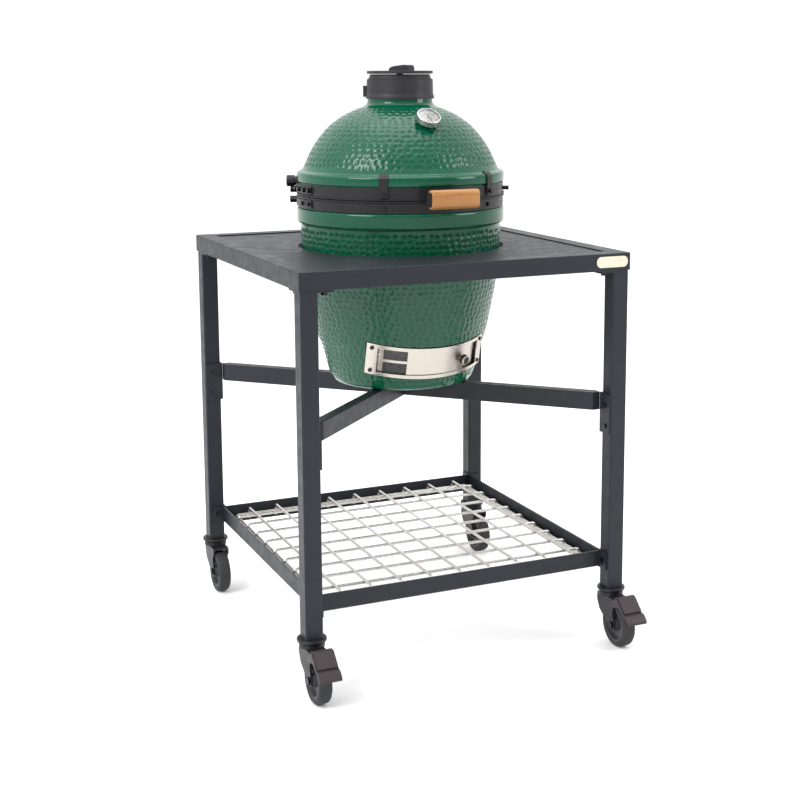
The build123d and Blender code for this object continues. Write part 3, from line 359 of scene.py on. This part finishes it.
def revolve_mesh(name, profile, segs, mat, dimple=None, seed=1):
    """Closed body of revolution from a closed (r, z) loop in mm from the table top; the loop starts and ends on the axis
    or closes on itself. dimple = list of (first, last) index ranges along the loop that carry dents."""
    prof = np.array(profile, float)
    n = len(prof)
    closed = prof[0][0] > 1e-6
    th = np.linspace(0, 2 * np.pi, segs, endpoint=False)
    arc = np.concatenate([[0], np.cumsum(np.linalg.norm(np.diff(prof, axis=0), axis=1))])
    # outward normals of the profile
    tang = np.gradient(prof, axis=0)
    tang /= np.maximum(np.linalg.norm(tang, axis=1), 1e-9)[:, None]
    nor = np.column_stack([tang[:, 1], -tang[:, 0]])
    R = np.repeat(prof[:, :1], segs, 1)
    Z = np.repeat(prof[:, 1:], segs, 1)
    dent_depth = np.zeros((n, segs))
    for a, b in dimple or ():
        rng = np.random.default_rng(seed)
        s0, s1 = arc[a], arc[b]
        pitch = 12.0
        rows = int((s1 - s0) / pitch)
        pitch = (s1 - s0) / rows
        idx = np.arange(a, b + 1)
        depth = np.zeros((len(idx), segs))
        for row in range(rows + 1):
            sc = s0 + row * pitch
            if sc < s0 + 2 or sc > s1 - 2:
                continue
            rr = np.interp(sc, arc, prof[:, 0])
            cnt = max(8, int(round(2 * np.pi * rr / 15.6)))
            off = rng.uniform(0, 2 * np.pi)
            jt = rng.uniform(-0.2, 0.2, cnt) * 2 * np.pi / cnt
            js = rng.uniform(-1.8, 1.8, cnt)
            rad = rng.uniform(6.2, 7.4, cnt)
            dep = rng.uniform(1.15, 1.55, cnt)
            near = np.abs(arc[idx] - sc) < 10.0
            k = np.floor((th - off) / (2 * np.pi / cnt)).astype(int)
            for add_k in (0, 1):
                kk = (k + add_k)
                ang = off + kk * 2 * np.pi / cnt + jt[kk % cnt]
                dth = (th - ang + np.pi) % (2 * np.pi) - np.pi
                dx = rr * dth
                ds = arc[idx][near][:, None] - (sc + js[kk % cnt])[None, :]
                q = (dx[None, :] ** 2 + ds ** 2) / (rad[kk % cnt][None, :] ** 2)
                dd = dep[kk % cnt][None, :] * np.clip(1 - q, 0, 1) ** 1.3
                depth[near] = np.maximum(depth[near], dd)
        # fade at both ends of the dented area
        fade = np.clip((arc[idx] - s0) / 3.0, 0, 1) * np.clip((s1 - arc[idx]) / 3.0, 0, 1)
        depth *= fade[:, None]
        R[idx] -= depth * nor[idx][:, :1]
        Z[idx] -= depth * nor[idx][:, 1:]
        # Dent depth is stored per vertex. The glaze uses it for roughness and for painted shade in the dents.
        dent_depth[idx] = np.clip(depth / 1.5, 0, 1)
    X = R * np.sin(th)[None, :]
    Y = -R * np.cos(th)[None, :]
    verts = np.stack([X / 1000, Y / 1000 + YC, Z / 1000 + H], -1)
    vl, faces, pl = [], [], []
    if closed:
        vl = verts.reshape(-1, 3)
        pl = dent_depth.ravel()
        I = np.arange(n)[:, None] * segs
        J = np.arange(segs)[None, :]
        a = I + J
        b = I + (J + 1) % segs
        a2 = ((np.arange(n) + 1) % n)[:, None] * segs + J
        b2 = ((np.arange(n) + 1) % n)[:, None] * segs + (J + 1) % segs
        faces = np.stack([a, b, b2, a2], -1).reshape(-1, 4)
    else:
        inner = verts[1:-1].reshape(-1, 3)
        pl = np.concatenate([dent_depth[1:-1].ravel(), [0, 0]])
        m_ = n - 2
        vl = np.vstack([inner, verts[0, 0], verts[-1, 0]])
        first, last = len(inner), len(inner) + 1
        I = np.arange(m_ - 1)[:, None] * segs
        J = np.arange(segs)[None, :]
        quads = np.stack([I + J, I + (J + 1) % segs, I + segs + (J + 1) % segs, I + segs + J], -1).reshape(-1, 4)
        faces = [tuple(q) for q in quads]
        for j in range(segs):
            faces.append((first, (j + 1) % segs, j))
            faces.append((last, (m_ - 1) * segs + j, (m_ - 1) * segs + (j + 1) % segs))
    ob = new_object(name, vl, faces, mat)
    at_ = ob.data.attributes.new("dent_depth", "FLOAT", "POINT")
    at_.data.foreach_set("value", np.asarray(pl, float))
    return ob


def axis_point(r, h, phi):
    """Point on the leaning cylinder of the draft frame, in metres."""
    a0y = -180.3 + 190 * math.cos(TAU)
    a0z = -247.0 + 190 * math.sin(TAU)
    c, s = math.cos(phi), math.sin(phi)
    x = r * s
    y = a0y - r * c * math.cos(TAU) - h * math.sin(TAU)
    z = a0z - r * c * math.sin(TAU) + h * math.cos(TAU)
    return (x / 1000, y / 1000 + YC, z / 1000 + H)


def sector(name, r0, r1, h0, h1, p0, p1, n, mat):
    """Closed block on the leaning cylinder."""
    vs, fs = [], []
    for i in range(n + 1):
        p = math.radians(p0 + (p1 - p0) * i / n)
        for r, h in ((r0, h0), (r1, h0), (r1, h1), (r0, h1)):
            vs.append(axis_point(r, h, p))
    for i in range(n):
        b = i * 4
        for j in range(4):
            fs.append((b + j, b + (j + 1) % 4, b + 4 + (j + 1) % 4, b + 4 + j))
    fs.append((3, 2, 1, 0))
    e = n * 4
    fs.append((e, e + 1, e + 2, e + 3))
    ob = new_object(name, vs, fs, mat, False)
    fix_normals(ob)
    return ob


def fix_normals(ob):
    bm = bmesh.new()
    bm.from_mesh(ob.data)
    bmesh.ops.recalc_face_normals(bm, faces=bm.faces)
    bm.to_mesh(ob.data)
    bm.free()


def cut(ob, cutters):
    for c in cutters:
        mod = ob.modifiers.new("cut", "BOOLEAN")
        mod.operation = "DIFFERENCE"
        mod.solver = "MANIFOLD"
        mod.object = c
        dg = bpy.context.evaluated_depsgraph_get()
        me = bpy.data.meshes.new_from_object(ob.evaluated_get(dg))
        ob.modifiers.clear()
        old = ob.data
        ob.data = me
        bpy.data.meshes.remove(old)
    for c in cutters:
        bpy.data.objects.remove(c)


def shade_by_angle(ob, deg=35):
    me = ob.data
    me.polygons.foreach_set("use_smooth", [True] * len(me.polygons))
    me.set_sharp_from_angle(angle=math.radians(deg))


# ------------------------------------------------------------------ ceramic base
STEP = 2.1
SEGS = 720
low = catmull([(146, -314), (158, -310), (166, -298), (169.2, -290)], 6)
cone = resample(np.array([(169.2, -290), (184.1, -233.0)]), STEP)
wall = resample(catmull([(184.1, -233), (189, -221), (193, -211.6), (199.9, -183), (205.8, -155), (211.4, -126.5),
                         (216.7, -98), (220.5, -70), (224.5, -35), (227, 0), (228, 41), (228.2, 49.5)], 10), STEP)
rim = catmull([(228.2, 49.5), (228.5, 51.6), (230, 53.2), (233.6, 53.9), (235.3, 55.1), (236, 57.5)], 3)
prof = [np.array([(0.0, -314.0)]), resample(np.array([(20, -314.0), (146, -314.0)]), 14)[:-1], low[:-1], cone[:-1], wall[:-1], rim]
start = sum(len(p) for p in prof[:2]) + len(prof[2]) // 2
end = sum(len(p) for p in prof[:5]) - 1
prof += [np.array([(236, 60), (236, 81)]), catmull([(236, 83), (235.2, 85.6), (232.6, 87.6), (231, 88.6)], 4),
         np.array([(231, 113.5), (208, 113.5), (206, 111), (206, 50)])]
prof += [resample(catmull([(206, 50), (203, 0), (197, -70), (186, -130), (172, -190), (155, -240), (130, -272), (108, -286)], 8), 8)[1:],
         np.array([(60, -286.0), (0.0, -286.0)])]
base = revolve_mesh("glazed_base", np.vstack(prof), SEGS, M_glaze, [(start, end)], 11)
fix_normals(base)
cut(base, [sector("c1", 188, 232, -38, 38, -47, 47, 60, M_glaze), sector("c2", 130, 200, -25, 25, -35, 2, 30, M_glaze)])
shade_by_angle(base, 40)
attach(base, "root")
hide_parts("ceramic_base")

# ------------------------------------------------------------------ dome
skirt = catmull([(231, 144.5), (233.6, 145.2), (235.6, 147), (236, 150)], 4)
lip = catmull([(236, 160), (235.4, 164), (232.6, 167.4), (229, 169), (224.6, 171.4), (222.6, 174)], 5)
crown = resample(catmull([(222.6, 174), (219.5, 179), (213, 193), (207, 207), (199, 221), (190, 235), (179.5, 248.5), (167, 262.5),
                          (151, 276.5), (130, 290.5), (116, 298), (100, 305), (84, 311.5)], 10), STEP)
neck = catmull([(84, 311.5), (77.5, 315.6), (74.2, 320), (73.5, 326)], 4)
prof = [np.array([(208, 118.5), (231, 118.5)]), skirt, lip[:-1], crown[:-1], neck[:-1], np.array([(73.5, 326), (73.5, 344), (52, 344)])]
start = sum(len(p) for p in prof[:3])
end = start + len(prof[3]) - 1
prof += [resample(catmull([(52, 306), (60, 296), (92, 284), (118, 271), (146, 251), (168, 226), (186, 196), (198, 170), (205, 140),
                           (206, 121)], 8), 8)]
dome = revolve_mesh("glazed_dome", np.vstack(prof), SEGS, M_glaze, [(start, end)], 23)
fix_normals(dome)
el = math.radians(54)
dn = Vector((0, -math.cos(el), math.sin(el)))
dc = Vector((0, -0.161 + YC, H + 0.295))


def rod(name, p0, direction, r, length, mat, segs=48):
    d = Vector(direction).normalized()
    q = d.to_track_quat("Z", "Y").to_matrix()
    vs, fs = [], []
    for k, z in enumerate((0, length)):
        for i in range(segs):
            a = 2 * math.pi * i / segs
            vs.append(Vector(p0) + q @ Vector((r * math.cos(a), r * math.sin(a), z)))
    for i in range(segs):
        j = (i + 1) % segs
        fs.append((i, j, segs + j, segs + i))
    fs.append(tuple(range(segs))[::-1])
    fs.append(tuple(range(segs, 2 * segs)))
    ob = new_object(name, vs, fs, mat, False)
    fix_normals(ob)
    return ob


cut(dome, [rod("c3", dc - dn * 0.0216, dn, 0.0115, 0.02, M_glaze), rod("c4", dc - dn * 0.07, dn, 0.0045, 0.06, M_glaze)])
shade_by_angle(dome, 40)


def clay_inside(ob):
    """The faces that look towards the axis or lie inside the shell are bare fire clay."""
    ob.data.materials.append(M_clay)
    for p in ob.data.polygons:
        c, q = p.center, p.normal
        r = math.hypot(c.x, c.y - YC)
        towards = r > 1e-4 and (q.x * c.x + q.y * (c.y - YC)) / r < -0.15
        if (towards and r < 0.2075 and c.z > H - 0.285) or (r < 0.107 and abs(c.z - (H - 0.286)) < 0.001):
            p.material_index = 1


clay_inside(base)
clay_inside(dome)
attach(dome, "lid")
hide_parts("dome")

# ------------------------------------------------------------------ woven mesh of the draft screen
def blocks(name, boxes, n, mat):
    """Several closed blocks on the leaning cylinder in one mesh; each box is (r0, r1, h0, h1, p0, p1)."""
    vs, fs = [], []
    for r0, r1, h0, h1, p0, p1 in boxes:
        k = len(vs)
        cnt = n if p1 - p0 > 1 else 1
        for i in range(cnt + 1):
            p = math.radians(p0 + (p1 - p0) * i / cnt)
            for r, h in ((r0, h0), (r1, h0), (r1, h1), (r0, h1)):
                vs.append(axis_point(r, h, p))
        for i in range(cnt):
            b = k + i * 4
            for j in range(4):
                fs.append((b + j, b + (j + 1) % 4, b + 4 + (j + 1) % 4, b + 4 + j))
        fs.append((k + 3, k + 2, k + 1, k))
        e = k + cnt * 4
        fs.append((e, e + 1, e + 2, e + 3))
    ob = new_object(name, vs, fs, mat, False)
    fix_normals(ob)
    return ob


weave = []
for i in range(24):
    h = -29.6 + i * 59.2 / 23
    weave.append((189.60, 189.92, h - 0.28, h + 0.28, -36.0, 3.5))
for i in range(52):
    p = -35.8 + i * 39.1 / 51
    weave.append((189.62, 189.98, -30, 30, p - 0.085, p + 0.085))
mesh = blocks("woven_mesh", weave, 24, M_mesh)
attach(mesh, "draft_screen")
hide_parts("draft_mesh")

# ------------------------------------------------------------------ dial face and knob
dq = dn.to_track_quat("Z", "Y").to_matrix()
du = Vector((1, 0, 0))
dv = dn.cross(du).normalized()
face_disc = rod("dial_face", dc - dn * 0.00496, dn, 0.0241, 0.00022, M_dial, 96)
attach(face_disc, "lid")
vs, fs = [], []


def dial_block(r0, r1, a0, a1, cnt):
    k = len(vs)
    for i in range(cnt + 1):
        a = math.radians(a0 + (a1 - a0) * i / cnt)
        d = du * math.sin(a) + dv * math.cos(a)
        for r, o in ((r0, -0.00476), (r1, -0.00476), (r1, -0.00462), (r0, -0.00462)):
            vs.append(dc + d * r + dn * o)
    for i in range(cnt):
        b = k + i * 4
        for j in range(4):
            fs.append((b + j, b + (j + 1) % 4, b + 4 + (j + 1) % 4, b + 4 + j))
    fs.append((k + 3, k + 2, k + 1, k))
    e = k + cnt * 4
    fs.append((e, e + 1, e + 2, e + 3))


dial_block(0.0226, 0.0231, -140, 140, 60)
for i in range(29):
    a = -140 + i * 10
    long = i % 4 == 0
    dial_block(0.0185 if long else 0.0203, 0.0224, a - (1.5 if long else 0.8), a + (1.5 if long else 0.8), 2)
for a0, a1 in ((-100, -22), (18, 92)):
    dial_block(0.0128, 0.0142, a0, a1, 16)
marks = new_object("dial_marks", vs, fs, M_ink, False)
fix_normals(marks)
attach(marks, "lid")

kp = math.radians(21.6)
ka, kb = Vector(axis_point(199.6, 0, kp)), Vector(axis_point(211.12, 0, kp))
kn = (kb - ka).normalized()
kq = kn.to_track_quat("Z", "Y").to_matrix()
vs, fs = [], []
kprof = [(0.0092, 0.0), (0.01112, 0.0006), (0.01118, 0.0026), (0.01118, 0.0078), (0.0107, 0.0098), (0.0092, 0.0112), (0.0070, 0.01155)]
for r, z in kprof:
    for i in range(48):
        a = 2 * math.pi * i / 48
        vs.append(ka + kq @ Vector((r * math.cos(a), r * math.sin(a), z)))
for k in range(len(kprof) - 1):
    for i in range(48):
        j = (i + 1) % 48
        fs.append((k * 48 + i, k * 48 + j, (k + 1) * 48 + j, (k + 1) * 48 + i))
fs.append(tuple(range(48))[::-1])
fs.append(tuple((len(kprof) - 1) * 48 + i for i in range(48)))
knob = new_object("door_knob", vs, fs, M_knob, False)
fix_normals(knob)
shade_by_angle(knob, 40)
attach(knob, "draft_door")

# ------------------------------------------------------------------ stage and light
bm = bmesh.new()
bmesh.ops.create_grid(bm, x_segments=1, y_segments=1, size=30)
me = bpy.data.meshes.new("floor")
bm.to_mesh(me)
bm.free()
floor = bpy.data.objects.new("floor", me)
bpy.context.scene.collection.objects.link(floor)
kf = Mat("floor_pale", rough=0.9, spec=0.1)
kf.color(kf.ramp(kf.noise(3, 2), [(0.3, (0.925, 0.925, 0.925)), (0.7, (0.935, 0.935, 0.935))]))
me.materials.append(kf.m)

bpy.context.scene.view_settings.view_transform = "Standard"

world = bpy.data.worlds.new("studio")
bpy.context.scene.world = world
world.use_nodes = True
wt = world.node_tree
wc = wt.nodes.new("ShaderNodeTexCoord")
ws = wt.nodes.new("ShaderNodeSeparateXYZ")
wt.links.new(wc.outputs["Generated"], ws.inputs["Vector"])
wm = wt.nodes.new("ShaderNodeMapRange")
wm.interpolation_type = "SMOOTHSTEP"
wm.inputs["From Min"].default_value = -0.75
wm.inputs["From Max"].default_value = 0.25
wm.inputs["To Min"].default_value = 0.4
wm.inputs["To Max"].default_value = 1.03
wt.links.new(ws.outputs["Y"], wm.inputs["Value"])
wt.nodes["Background"].inputs["Color"].default_value = (1, 1, 1, 1)
wz = wt.nodes.new("ShaderNodeMapRange")
wz.inputs["From Min"].default_value = 0.1
wz.inputs["From Max"].default_value = 0.9
wz.inputs["To Min"].default_value = 0.0
wz.inputs["To Max"].default_value = 0.7
wt.links.new(ws.outputs["Z"], wz.inputs["Value"])
wa = wt.nodes.new("ShaderNodeMath")
wa.operation = "ADD"
wt.links.new(wm.outputs["Result"], wa.inputs[0])
wt.links.new(wz.outputs["Result"], wa.inputs[1])
wt.links.new(wa.outputs["Value"], wt.nodes["Background"].inputs["Strength"])


def area(name, loc, target, size_x, size_y, power):
    d = bpy.data.lights.new(name, "AREA")
    d.shape = "RECTANGLE"
    d.size, d.size_y, d.energy = size_x, size_y, power
    ob = bpy.data.objects.new(name, d)
    bpy.context.scene.collection.objects.link(ob)
    ob.location = loc
    ob.rotation_euler = (Vector(target) - Vector(loc)).to_track_quat("-Z", "Y").to_euler()
    return ob


area("key_left", (-3.2, -1.2, 3.0), (0, 0, 0.9), 1.8, 2.4, 120)
area("fill_right", (3.0, -2.2, 2.2), (0, 0, 0.9), 1.6, 2.2, 60)
area("top", (0, 0.2, 4.0), (0, 0, 0.8), 2.6, 2.6, 40)
